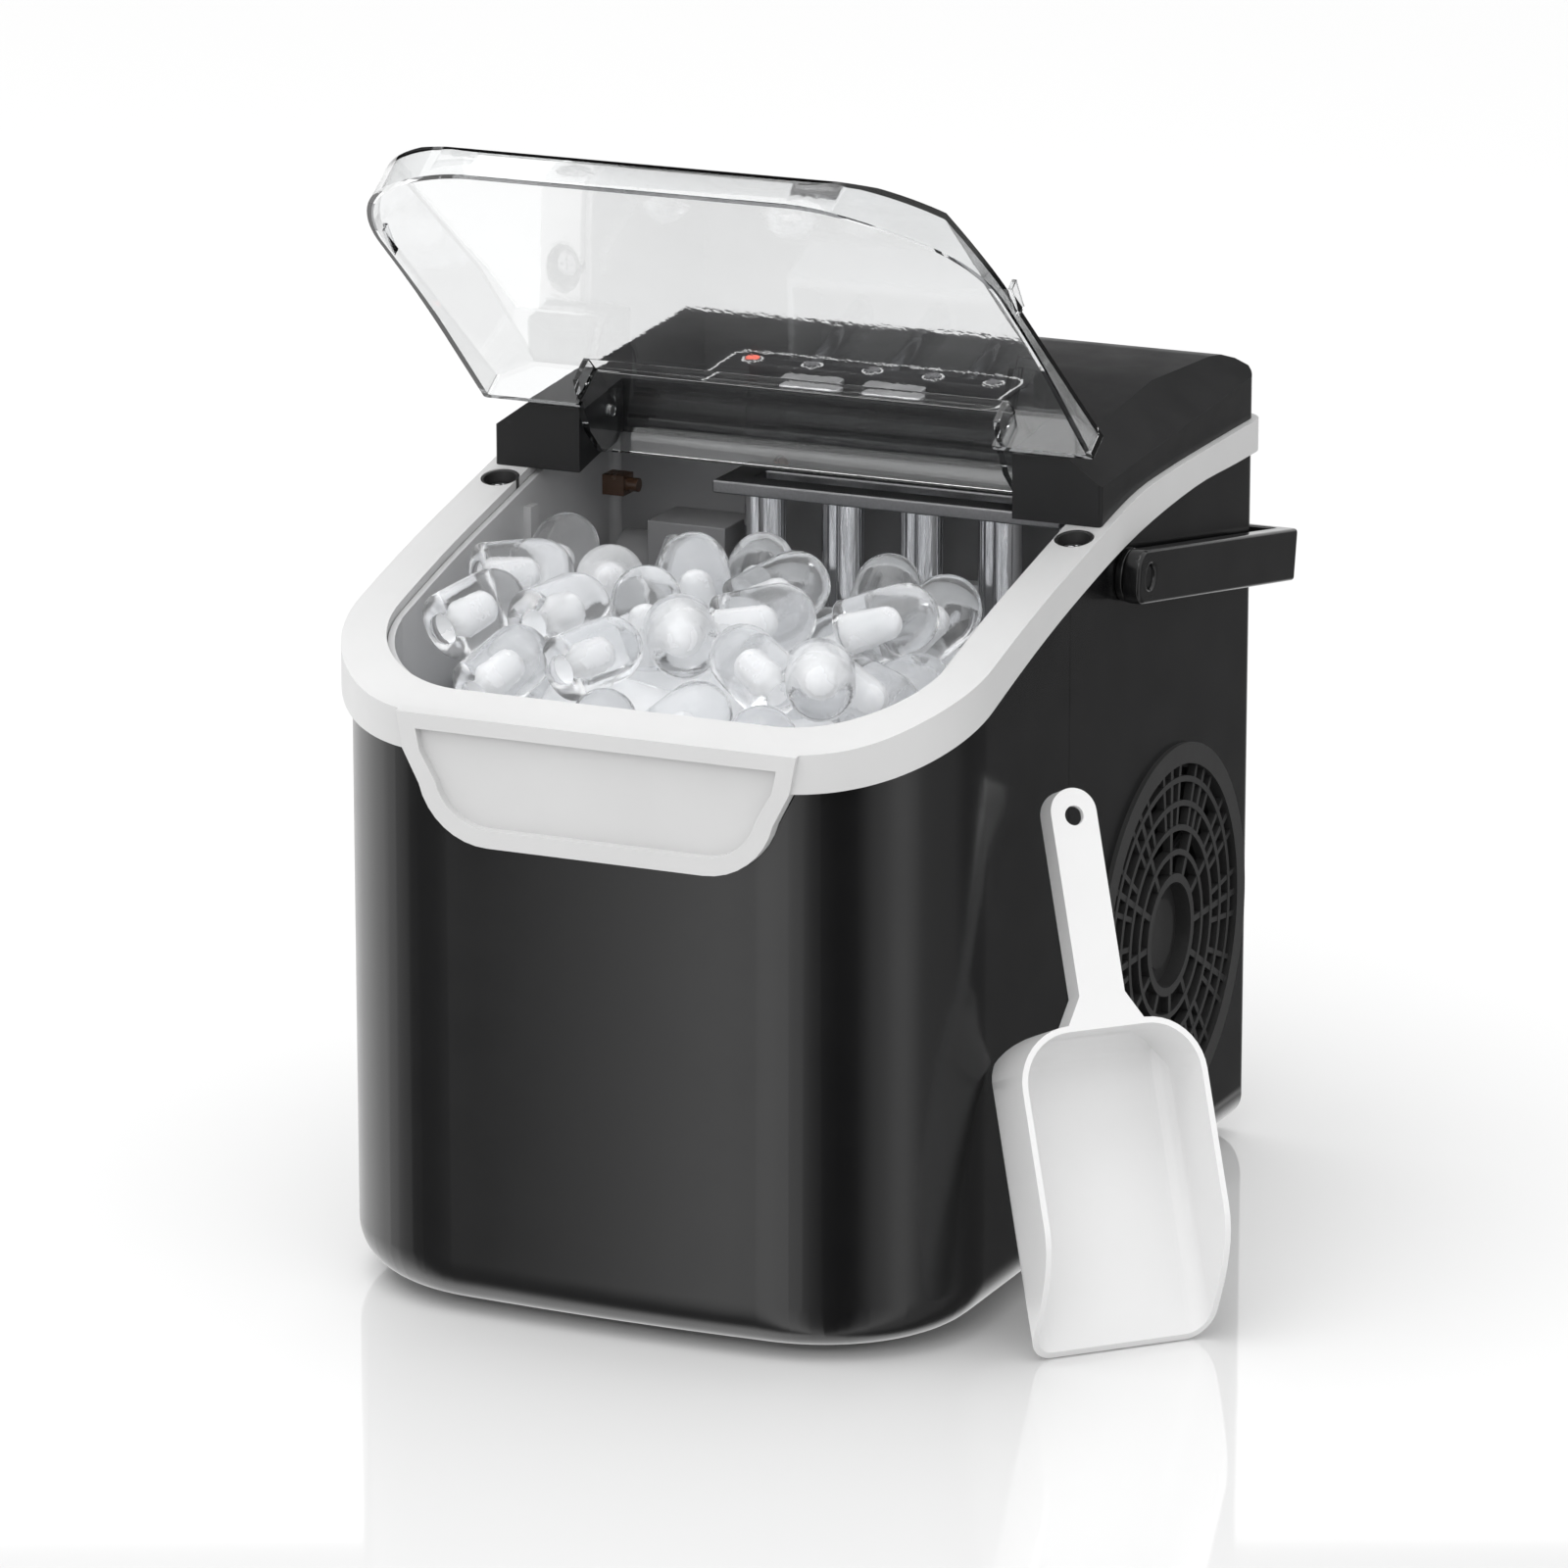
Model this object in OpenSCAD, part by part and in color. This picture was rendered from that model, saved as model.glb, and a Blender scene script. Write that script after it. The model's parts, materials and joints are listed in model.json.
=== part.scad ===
// Countertop bullet-ice maker with a clear lid, a folding carry handle and an ice scoop.
// Millimetres, +Z up. The origin is on the table, under the middle of the body. The front faces -Y.

/* [Body] */
// Width of the body, side to side
body_w = 220; // [216:1:224]
// Depth of the body, front to back
body_d = 292; // [288:1:296]
// Radius of the two front upright corners
front_r = 56; // [52:1:58]
// Radius of the two rear upright corners
rear_r = 8; // [6:1:10]
// Radius of the rounded bottom edge
bottom_r = 17; // [14:1:18]
// Wall thickness of the casing
wall = 2.5; // [2:0.1:3]
// Height of the rubber feet
foot_h = 2; // [2:0.5:3]
// Where the front panel meets the rear housing
seam_y = -20; // [-22:1:-18]

/* [Rim] */
// How far the rim stands out past the casing
rim_out = 2.5; // [2:0.1:3]
// Width of the rim inside the casing line
rim_in = 12.5; // [12:0.5:13]

/* [Lid] */
// Distance of the hinge line behind the middle of the body
hinge_y = 24; // [24:0.5:24.5]
// Height of the hinge line
hinge_z = 265; // [264.5:0.5:265]
// Angle that the lid is lifted from closed
lid_open = 56; // [0:1:80]
// Thickness of the clear lid
lid_t = 2.2; // [2:0.1:2.4]

/* [Carry handle] */
// Distance of the handle pivot behind the middle of the body
handle_y = 26; // [25:0.5:27]
// Height of the handle pivot
handle_z = 227; // [226:0.5:228]
// Slope of the folded handle, down to the rear
handle_slope = 9.6; // [5:0.1:12]
// Pivot to the inner face of the rear bar
handle_reach = 129.5; // [129.5:0.5:131]

/* [Cooling] */
// Height of the fan centre
fan_z = 91.5; // [90:0.5:92]
// Distance of the fan centre behind the middle of the body
fan_y = 70; // [69:0.5:71]
// Radius of the fan opening
fan_r = 61.5; // [60:0.5:62]
// Length of the ice-forming fingers
finger_l = 40; // [36:1:42]

/* [Scoop] */
// Length of the scoop from lip to handle end
scoop_l = 179; // [176:1:182]
// Width of the scoop bowl
scoop_w = 65; // [62:1:66]
// Lean of the scoop from upright
scoop_lean = 23; // [22:0.5:24]
// Turn of the scoop about the upright
scoop_turn = 47; // [46:0.5:48]

/* [Hidden] */
$fn = 64;
side_x = body_w / 2;
end_y = body_d / 2;
open_x = side_x - rim_in;
open_front = -end_y + rim_in + 0.8;
seam_gap = 0.2;
low = -20;

// Upper and lower edge of the rim seen from the side, as Y and Z
rim_top = [[-170, 203], [-152, 203], [-140, 205.2], [-113, 215.7], [-62, 231], [-14, 242.6],
    [30, 252], [62, 254.4], [110, 255.3], [160, 255.5], [180, 255.5]];
rim_low = [[-170, 190], [-152, 190], [-137, 193], [-104, 204], [-56, 219.4], [-14, 230.4],
    [32, 239.6], [82, 244.4], [120, 244.4], [160, 244.4], [180, 244.4]];
// Top of the rear cover seen from the side, as Y and Z
cover_top = [[5.3, 269], [38, 273.4], [88, 277.9], [130, 277.9], [137, 277.3], [142, 275.4],
    [145, 272.2], [146, 268]];
// Top of the closed lid seen from the side, as Y and Z
lid_top = [[-149, 213], [-147.2, 217], [-143, 219.8], [-120, 228.6], [-60, 248.7], [4.2, 266.4]];
// Outline of the hook behind the closed lid, around its hinge
lid_hook = [[-4, 252], [-4, 264], [4.2, 266.4], [17, 268.6], [31, 270.8], [36, 269], [37.5, 264],
    [37, 258], [30, 251.5], [17, 248.4], [6, 249.5]];

// Control panel: its slope and its middle
panel_slope = atan2(cover_top[2][1] - cover_top[1][1], cover_top[2][0] - cover_top[1][0]);
panel_y = 62;
panel_z = cover_top[1][1] + (panel_y - cover_top[1][0]) * tan(panel_slope);
led_pitch = 22.2;
led_y = 9;
led_r = 2.6;
button_x = 15;
button_y = -7.5;
button_size = [21.6, 7.6];

// Evaporator: the bottom of its bar and the two rows of fingers
bar_z = 235.5;
bar_s = 10.5;
front_row = 24;
rear_row = 44;
finger_pitch = 28.5;
finger_r = 4.8;
front_fingers = [for (i = [0:3]) -16 + i * finger_pitch];
rear_fingers = [for (i = [0:4]) -30.25 + i * finger_pitch];

// Water tray and the line that it tilts about
tray_y = 54;
tray_z = 207;
tray_x = [-39, 93];
shaft_r = 3;
run_gap = 0.05;

// Lower levels inside the body
tub_z = 62;
shelf_z = 156;
shelf_back = 68;
liner_x = open_x - 0.3;

// Feet
foot_places = [for (x = [-66, 66]) for (y = [-100, 100]) [x, y]];

// Screw cups on the rim
cup_x = 104;
cup_y = -3;
cup_r = 6.6;
cup_z = 240;

// Basket
basket_x = 88;
basket_front = -126.5;
basket_back = -7;
basket_z = 114;
basket_top = 187;

// Recess between the hinge blocks
recess_x = 78.5;
recess_back = 40.4;

// Carry handle
arm_x = [side_x + 3.2, side_x + 9.6];
arm_h = 18;
bar_t = 6;

// Fan grille
grille_x = [side_x - 0.4, side_x + 1.6];

// Compressor
comp = [-48, 76];

// Scoop
bowl_l = 103;
bowl_depth = 31;
bowl_rise = 40;
heel_r = 12;
scoop_lip = [156.4, -86.5, 0.3];
scoop_t = 2;
grip_w = 16;
grip_t = 9;
grip_hole_r = 3.2;

function blend(a, b, c, d, t) =
    0.5 * (2 * b + (c - a) * t + (2 * a - 5 * b + 4 * c - d) * t * t + (3 * b - a - 3 * c + d) * t * t * t);
function smooth(p, n = 4) =
    [for (i = [1:len(p) - 3]) for (k = [0:n - 1]) blend(p[i - 1], p[i], p[i + 1], p[i + 2], k / n)];
function arc(cx, cy, r, a0, a1, n) =
    [for (i = [0:n]) [cx + r * cos(a0 + (a1 - a0) * i / n), cy + r * sin(a0 + (a1 - a0) * i / n)]];
function mirrored(p) = [for (i = [len(p) - 1:-1:0]) [-p[i][0], p[i][1]]];

// ---------- shared shapes ----------

// Rounded outline with its own front and rear radii, seen from above
module outline(hx, front, rear, rf, rr) {
    translate([-hx, front + rf]) square([2 * hx, rear - rr - front - rf]);
    translate([-hx + rf, front]) square([2 * (hx - rf), rf + 1]);
    translate([-hx + rr, rear - rr - 1]) square([2 * (hx - rr), rr + 1]);
    for (s = [-1, 1]) {
        translate([s * (hx - rf), front + rf]) circle(rf);
        translate([s * (hx - rr), rear - rr]) circle(rr, $fn = 32);
    }
}
module body_plan(grow = 0) {
    outline(side_x + grow, -end_y - grow, end_y + grow, front_r + grow, max(2, rear_r + grow));
}
module column(z0, z1) {
    translate([0, 0, z0]) linear_extrude(height = z1 - z0) children();
}
// Turns an outline drawn as Y and Z into a slab across X
module across(x0, x1) {
    translate([x0, 0, 0]) rotate([90, 0, 90]) linear_extrude(height = x1 - x0) children();
}
// Turns an outline drawn as X and Z into a slab along Y
module along(y0, y1) {
    translate([0, y1, 0]) rotate([90, 0, 0]) linear_extrude(height = y1 - y0) children();
}
module below_line(line, drop = 0) {
    pts = smooth(line);
    last = len(pts) - 1;
    translate([0, -drop]) polygon(concat([[pts[0][0], low]], pts, [[pts[last][0], low]]));
}
module box(a, b) {
    translate(a) cube(b - a);
}
module rod_x(x0, x1, y, z, r) {
    translate([x0, y, z]) rotate([0, 90, 0]) cylinder(h = x1 - x0, r = r);
}
module rod_y(y0, y1, x, z, r) {
    translate([x, y1, z]) rotate([90, 0, 0]) cylinder(h = y1 - y0, r = r);
}
module rod_z(z0, z1, x, y, r) {
    translate([x, y, z0]) cylinder(h = z1 - z0, r = r);
}
// Pipe along straight runs, with ball corners
module pipe(p, r) {
    for (i = [0:len(p) - 2]) {
        d = p[i + 1] - p[i];
        translate(p[i]) rotate([0, acos(d[2] / norm(d)), atan2(d[1], d[0])]) cylinder(h = norm(d), r = r, $fn = 24);
        if (i > 0) translate(p[i]) sphere(r, $fn = 24);
    }
}

// ---------- casing ----------

// Section of the casing wall with its rounded foot: outer face at 0
module wall_section(top) {
    difference() {
        foot_section(bottom_r, top);
        translate([-wall, wall]) foot_section(bottom_r - wall, top);
        translate([-60, -1]) square([60 - bottom_r - 5, top + 2]);
    }
}
module foot_section(r, top) {
    reach = 45;
    translate([-reach, r]) square([reach, top - r]);
    translate([-reach, 0]) square([reach - r, r + 0.01]);
    translate([-r, r]) circle(r);
}
module casing_sides(y0, y1) {
    for (s = [0, 1]) mirror([s, 0, 0]) along(y0, y1) translate([side_x, foot_h]) wall_section(260);
}
module below_rim(gap = 0.1) {
    across(-130, 130) below_line(rim_low, gap);
}
// Outline of the hand pull in the front, as X and Z
function pull_half(g) = concat(arc(38, 186, 25 + g, -90, -14, 8), [[68 + g, 191], [71 + g, 207]]);
module pull_outline(g = 0) {
    polygon(concat(pull_half(g), mirrored(pull_half(g))));
}

module front_panel() {
    color("#1d1d1f") difference() {
        intersection() {
            union() {
                casing_sides(-end_y + front_r, seam_y - seam_gap);
                for (s = [0, 1]) mirror([s, 0, 0]) {
                    translate([side_x - front_r, -end_y + front_r, foot_h]) rotate([0, 0, -90])
                        rotate_extrude(angle = 90, $fn = 96) translate([front_r, 0]) wall_section(260);
                }
                translate([-side_x + front_r, -end_y, foot_h]) rotate([90, 0, 90])
                    linear_extrude(height = body_w - 2 * front_r) mirror([1, 0]) wall_section(260);
            }
            below_rim();
        }
        along(-end_y - 1, -end_y + wall + 1) pull_outline(0.15);
        rod_x(-side_x - 1, -side_x + wall + 1, -60, 34, 7.5);
    }
}

module rear_housing() {
    color("#1b1b1d") difference() {
        intersection() {
            column(foot_h, 260) body_plan();
            along(seam_y + seam_gap, end_y) union() {
                for (s = [0, 1]) mirror([s, 0, 0]) translate([side_x, foot_h]) foot_section(bottom_r, 260);
                translate([-side_x + 40, foot_h]) square([body_w - 80, 258]);
            }
            below_rim();
        }
        intersection() {
            column(foot_h + wall, 262) outline(side_x - wall, -end_y, end_y - wall, front_r, rear_r - wall);
            along(seam_y - 1, end_y) union() {
                for (s = [0, 1]) mirror([s, 0, 0]) translate([side_x - wall, foot_h + wall])
                    foot_section(bottom_r - wall, 262);
                translate([-side_x + 40, foot_h + wall]) square([body_w - 80, 262]);
            }
        }
        box([-side_x + bottom_r + 5, seam_y - 1, 0], [side_x - bottom_r - 5, end_y - bottom_r - 5, 20]);
        rod_x(side_x - wall - 1, side_x + 1, fan_y, fan_z, fan_r);
        // Air outlet slots in the left side
        for (i = [0:8]) for (j = [0:1])
            box([-side_x - 1, 26 + i * 11, 50 + j * 48], [-side_x + wall + 1, 31 + i * 11, 90 + j * 48]);
        // Slots in the back
        for (i = [0:9]) box([-54 + i * 12, end_y - wall - 1, 60], [-48 + i * 12, end_y + 1, 100]);
        rod_y(end_y - wall - 1, end_y + 1, -82, 34, 7);
        for (s = [-1, 1]) rod_x(s * side_x - 4, s * side_x + 4, handle_y, handle_z, 4);
    }
}

module base_pan() {
    color("#18181a") difference() {
        union() {
            column(foot_h + wall + 0.1, foot_h + wall + 2.6) body_plan(-15.6);
            column(foot_h, foot_h + wall + 0.1) body_plan(-bottom_r - 6);
            // Posts that carry the ice tub
            for (x = [-70, 70]) for (y = [-110, -20]) rod_z(foot_h + wall + 2, tub_z, x, y, 6);
        }
        for (p = foot_places) rod_z(0, 20, p[0], p[1], 3);
    }
}

module feet() {
    color("#2a2a2a") for (p = foot_places) {
        rod_z(0, foot_h, p[0], p[1], 9);
        rod_z(foot_h - 0.01, foot_h + wall, p[0], p[1], 3);
    }
}

module top_rim() {
    color("#d4d4d4") difference() {
        union() {
            intersection() {
                column(150, 262) body_plan(rim_out);
                across(-130, 130) below_line(rim_top);
                across(-130, 130) difference() {
                    below_line(rim_top);
                    below_line(rim_low);
                }
            }
            intersection() {
                along(-end_y - rim_out, -end_y + wall) pull_outline();
                across(-130, 130) below_line(rim_top);
            }
        }
        column(140, 270) outline(open_x, open_front, 138, 42, 4);
        // Hollow underside
        intersection() {
            column(140, 270) difference() {
                body_plan(-0.2);
                outline(open_x + 2.4, open_front - 2.4, 140.4, 44.4, 6);
            }
            across(-130, 130) below_line(rim_top, 2.4);
            box([-130, -end_y + wall, 100], [130, end_y, 300]);
        }
        // Finger recess of the hand pull
        along(-end_y - rim_out - 1, -end_y + 0.6) difference() {
            pull_outline(-6);
            translate([-80, 198]) square([160, 20]);
        }
        for (s = [-1, 1]) rod_z(225, 270, s * cup_x, cup_y, cup_r);
    }
}

module screw_cups() {
    color("#222222") for (s = [-1, 1]) difference() {
        intersection() {
            rod_z(cup_z - 3, 270, s * cup_x, cup_y, cup_r);
            across(-130, 130) below_line(rim_top, 0.3);
        }
        rod_z(cup_z, 270, s * cup_x, cup_y, cup_r - 1.1);
        rod_z(cup_z - 4, cup_z + 1, s * cup_x, cup_y, 1.6);
    }
}

module rim_screws() {
    color("#8d8d90") for (s = [-1, 1]) difference() {
        union() {
            rod_z(cup_z, cup_z + 2.2, s * cup_x, cup_y, 3.6);
            rod_z(cup_z - 10, cup_z, s * cup_x, cup_y, 1.6);
        }
        for (a = [0, 90]) translate([s * cup_x, cup_y, cup_z + 1.7]) rotate([0, 0, a]) cube([4.4, 0.9, 2], center = true);
    }
}

// ---------- ice tub and basket ----------

module liner_shape(inset) {
    intersection() {
        column(tub_z - 10, 262) outline(liner_x - inset, open_front + 0.3 + inset, shelf_back - inset,
            41.7 - inset, 4);
        across(-120, 120) difference() {
            below_line(rim_top, 3);
            translate([-200, low]) square([199 + inset, tub_z - low + inset]);
            translate([-1.01 + inset, low]) square([140, shelf_z - low + inset]);
        }
    }
}

module inner_liner() {
    color("#c9c9ca") difference() {
        union() {
            difference() {
                liner_shape(0);
                difference() {
                    liner_shape(2.3);
                    // Floor of the tub and of the shelf keep their thickness
                    box([-120, -200, 0], [120, -1 + 2.3, tub_z + 2.3]);
                }
                // The walls are open at the top
                intersection() {
                    column(236, 270) outline(liner_x - 2.3, open_front + 2.6, shelf_back - 2.3, 39.4, 4);
                }
                intersection() {
                    column(199, 270) outline(liner_x - 2.3, open_front + 2.6, -90, 39.4, 4);
                }
            }
            // Ledges that the basket stands on
            for (s = [-1, 1]) for (y = [-84, -30])
                box([s * 91.5 - 3.6, y, 108], [s * 91.5 + 3.6, y + 14, basket_z - 0.2]);
            // Upright rib in front of the rear shelf, on each side
            for (s = [-1, 1]) box([s * 93.6 - 1.4, -4, 160], [s * 93.6 + 1.4, 2, 236]);
        }
        // Bores for the tray shaft, the probe and the drain
        rod_x(liner_x - 4, liner_x + 1, tray_y, tray_z, shaft_r + run_gap);
        rod_x(-liner_x - 1, -liner_x + 4, -60, 72, 4);
        for (x = [-30.25, 83.75]) rod_y(shelf_back - 4, shelf_back + 2, x, bar_z + bar_s / 2, 3.4);
    }
}

module ice_basket() {
    color("#dcdee0") difference() {
        column(basket_z, basket_top) outline(basket_x, basket_front, basket_back, 36, 8);
        column(basket_z + 1.8, basket_top + 1)
            outline(basket_x - 1.8, basket_front + 1.8, basket_back - 1.8, 34.2, 6.2);
        // Drain slots in the floor and the front and back walls
        for (i = [-4:4]) for (j = [0:3])
            box([i * 17 - 2, -112 + j * 26, basket_z - 1], [i * 17 + 2, -94 + j * 26, basket_z + 3]);
        for (i = [-3:3]) for (j = [0:1])
            box([i * 15 - 2, basket_front - 2, 124 + j * 28], [i * 15 + 2, basket_back + 2, 144 + j * 28]);
        for (i = [0:4]) for (j = [0:1])
            box([-basket_x - 2, -84 + i * 15, 124 + j * 28], [basket_x + 2, -80 + i * 15, 144 + j * 28]);
    }
}

// ---------- rear cover and controls ----------

module chamfer_section(z_edge) {
    half = [[side_x + 6, low], [side_x + 6, z_edge - 4.3], [60, z_edge + 35.8]];
    polygon(concat(half, mirrored(half)));
}
module cover_solid(inset) {
    intersection() {
        column(200, 300) outline(side_x - inset, 5.3 + inset, end_y - inset, 1.5, max(2, rear_r - inset));
        across(-130, 130) translate([0, -inset]) polygon(concat([[5.3 - 20, low], [5.3 - 20, 266.3]], cover_top, [[146, low]]));
        translate([0, 5, 260.6 - inset * 1.2]) rotate([4, 0, 0]) translate([0, 0, -260.6])
            along(-60, 200) chamfer_section(260.6);
    }
}

module on_panel() {
    translate([0, panel_y, panel_z]) rotate([panel_slope, 0, 0]) children();
}
module rounded_slab(size, r, z0, z1) {
    translate([0, 0, z0]) linear_extrude(height = z1 - z0) {
        square([size[0], size[1] - 2 * r], center = true);
        square([size[0] - 2 * r, size[1]], center = true);
        for (sx = [-1, 1]) for (sy = [-1, 1])
            translate([sx * (size[0] / 2 - r), sy * (size[1] / 2 - r)]) circle(r, $fn = 24);
    }
}
module led_places() {
    for (i = [-2:2]) translate([i * led_pitch, led_y, 0]) children();
}

module rear_cover() {
    color("#333335") difference() {
        union() {
            difference() {
                cover_solid(0);
                difference() {
                    cover_solid(wall);
                    // Walls of the hinge recess
                    box([-recess_x - wall, 0, 200], [recess_x + wall, recess_back + wall, 300]);
                }
                across(-130, 130) below_line(rim_top, -0.1);
            }
            for (s = [-1, 1]) rod_x(s * 84 - 4, s * 84 + 4, hinge_y, hinge_z, 4.2);
        }
        box([-recess_x, -1, 200], [recess_x, recess_back, 300]);
        box([-recess_x - 0.01, recess_back - 1, 200], [recess_x + 0.01, recess_back + wall + 1, 250]);
        for (s = [-1, 1]) rod_x(s * 83 - 6, s * 83 + 6, hinge_y, hinge_z, 2);
        on_panel() {
            for (s = [-1, 1]) translate([s * button_x, button_y, 0])
                rounded_slab(button_size + [0.6, 0.6], 2.3, -8, 8);
            led_places() cylinder(h = 16, r = led_r, center = true);
        }
    }
}

module control_panel() {
    color("#3c3c3e") on_panel() difference() {
        rounded_slab([110, 38], 5, 0.02, 0.42);
        for (s = [-1, 1]) translate([s * button_x, button_y, 0])
            rounded_slab(button_size + [0.6, 0.6], 2.3, -8, 8);
        led_places() cylinder(h = 16, r = led_r, center = true);
    }
}

module led_lenses() {
    color("#c8c8c8") on_panel() led_places() translate([0, 0, -2.8]) cylinder(h = 3.8, r = led_r);
}

module button(side) {
    color("#b9bbbd") on_panel() translate([side * button_x, button_y, 0]) {
        rounded_slab(button_size, 2, -4, 1.5);
        rounded_slab(button_size + [3, 3], 2, -5.2, -3.99);
    }
}
module button_power() {
    button(-1);
}
module button_select() {
    button(1);
}

module control_board() {
    color("#2f6b3c") on_panel() {
        rounded_slab([112, 34], 2, -11, -9.4);
        for (s = [-1, 1]) translate([s * button_x, button_y, 0]) rounded_slab([6.2, 6.2], 0.5, -9.41, -6.6);
        led_places() translate([0, 0, -9.41]) cylinder(h = 6, r = 2.2);
    }
}

// ---------- lid ----------

module lid_solid(inset) {
    intersection() {
        column(180, 300) outline(side_x + 0.3 - inset, -149 + inset, 4.2 - inset, front_r - inset, 1);
        across(-130, 130) translate([0, -inset]) polygon(concat([[-149, low]], lid_top, [[4.2, low]]));
        translate([0, 5, 258 - inset * 1.3]) rotate([17.5, 0, 0]) translate([0, 0, -258])
            along(-220, 40) chamfer_section(258);
    }
}
module closed_lid() {
    difference() {
        lid_solid(0);
        lid_solid(lid_t);
        across(-130, 130) below_line(rim_top, -0.6);
        // The middle of the rear wall is open towards the hook
        box([-74.6, -2, 200], [74.6, 6, 264]);
    }
    // Hook behind the hinge line
    difference() {
        across(-77, 77) polygon(lid_hook);
        across(-74.8, 74.8) polygon([[-30, 240], [-30, 255.4], [-4, 261.7], [4.2, 264.2], [17, 266.4], [30, 268.4],
            [33.6, 267.2], [35, 263.4], [34.6, 256], [30, 240]]);
        for (s = [-1, 1]) rod_x(s * 76 - 4, s * 76 + 4, hinge_y, hinge_z, 2 + run_gap);
    }
}
module as_opened() {
    translate([0, hinge_y, hinge_z]) rotate([-lid_open, 0, 0]) translate([0, -hinge_y, -hinge_z]) children();
}

module lid() {
    color([0.82, 0.84, 0.86, 0.4]) as_opened() closed_lid();
}

// Small clips on the outside of the lid's lower edge
module lid_clips() {
    color([0.82, 0.84, 0.86, 0.4]) as_opened() for (s = [0, 1]) mirror([s, 0, 0])
        box([side_x + 0.3, -96, 226], [side_x + 2, -84, 230.5]);
}

module hinge_pins() {
    color("#9a9a9c") for (s = [-1, 1]) rod_x(s * 81 - 6, s * 81 + 6, hinge_y, hinge_z, 2);
}

// ---------- carry handle ----------

module carry_handle() {
    color("#202022") translate([0, handle_y, handle_z]) rotate([-handle_slope, 0, 0]) difference() {
        union() {
            for (s = [0, 1]) mirror([s, 0, 0]) {
                box([arm_x[0], -4, -arm_h / 2], [arm_x[1], handle_reach + bar_t, arm_h / 2]);
                box([arm_x[0], -10, -arm_h / 2 + 6], [arm_x[1], 0, arm_h / 2 - 6]);
                for (z = [-1, 1]) rod_x(arm_x[0], arm_x[1], -4, z * (arm_h / 2 - 6), 6);
            }
            box([-arm_x[1], handle_reach, -arm_h / 2], [arm_x[1], handle_reach + bar_t, arm_h / 2]);
        }
        for (s = [-1, 1]) rod_x(s * 116 - 8, s * 116 + 8, 0, 0, 4 + run_gap);
    }
}

module handle_pivots() {
    color("#161617") for (s = [0, 1]) mirror([s, 0, 0]) {
        rod_x(side_x, arm_x[0] - 0.3, handle_y, handle_z, 9);
        rod_x(side_x - wall - 3, arm_x[1] - 1, handle_y, handle_z, 4);
        rod_x(side_x - wall - 3, side_x - wall, handle_y, handle_z, 8);
    }
}

// ---------- fan, condenser and compressor ----------

module ring(r0, r1, x0, x1) {
    difference() {
        rod_x(x0, x1, fan_y, fan_z, r1);
        rod_x(x0 - 1, x1 + 1, fan_y, fan_z, r0);
    }
}
module fan_grille() {
    hub_r = 20;
    gap = (fan_r - hub_r) / 5;
    color("#141415") union() {
        ring(fan_r - 1.2, fan_r + 4.2, side_x, grille_x[1]);
        ring(fan_r - 3, fan_r - 0.2, side_x - 2.6, grille_x[1]);
        for (i = [0:4]) ring(hub_r + i * gap - 1, hub_r + i * gap + 1, side_x - 2.6, side_x + 0.6);
        for (i = [0:11]) translate([0, fan_y, fan_z]) rotate([i * 30, 0, 0])
            box([side_x - 2.4, -1.1, hub_r - 0.5], [side_x + 0.4, 1.1, fan_r - 1]);
        for (i = [0:23]) translate([0, fan_y, fan_z]) rotate([i * 15 + 7.5, 0, 0])
            box([side_x - 2.4, -0.9, hub_r + 2 * gap], [side_x + 0.4, 0.9, fan_r - 1]);
        // Cupped middle
        difference() {
            rod_x(side_x - 7, side_x + 0.6, fan_y, fan_z, hub_r);
            rod_x(side_x - 5, side_x + 1, fan_y, fan_z, hub_r - 2);
        }
        rod_x(side_x - 5.01, side_x - 3.4, fan_y, fan_z, 12);
    }
}

module fan_shroud() {
    color("#232325") {
        ring(57, 60, 78, side_x - 2.6);
        difference() {
            for (a = [0:90:270]) translate([0, fan_y, fan_z]) rotate([a + 45, 0, 0]) box([78, -4, 0], [81, 4, 58]);
            rod_x(77, 82, fan_y, fan_z, 17.02);
        }
    }
}

module fan_motor() {
    color("#7d7f82") {
        rod_x(66, 84, fan_y, fan_z, 17);
        rod_x(83.9, 98, fan_y, fan_z, 2);
    }
}

module fan_blade() {
    color("#4a4b4e") difference() {
        union() {
            rod_x(86, 99, fan_y, fan_z, 15);
            intersection() {
                ring(14, 55, 80, 104);
                translate([92.5, fan_y, fan_z]) for (a = [0:72:359]) rotate([a, 0, 0])
                    translate([0, 0, 34]) rotate([0, 0, 28]) cube([1.6, 24, 44], center = true);
            }
        }
        rod_x(85, 100, fan_y, fan_z, 2 + run_gap);
    }
}

module condenser() {
    color("#a9abad") {
        for (i = [0:15]) box([34, 16 + i * 7.2, 24], [54, 17 + i * 7.2, 148]);
        for (z = [36:25:136]) rod_y(14, 126, 44, z, 4);
        for (y = [14, 125]) box([33, y, 7.1], [55, y + 1.2, 148]);
    }
}

module compressor() {
    color("#2b2b2d") translate([comp[0], comp[1], 0]) {
        rotate_extrude($fn = 96) polygon(concat([[0, 20]], arc(32, 30, 10, -90, 0, 4), arc(26, 92, 16, 0, 60, 4),
            arc(0, 64, 50, 57, 90, 5)));
        for (a = [45:90:315]) rotate([0, 0, a]) box([20, -8, 14], [50, 8, 20.5]);
        rod_z(20, 20.6, 0, 0, 24);
        rod_z(80, 120, 18, 16, 4);
        rod_z(80, 120, -12, -16, 4);
    }
}

module compressor_mounts() {
    color("#1a1a1a") for (a = [45:90:315])
        translate([comp[0] + 43 * cos(a), comp[1] + 43 * sin(a), 7.1]) cylinder(h = 6.9, r = 6);
}

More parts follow.
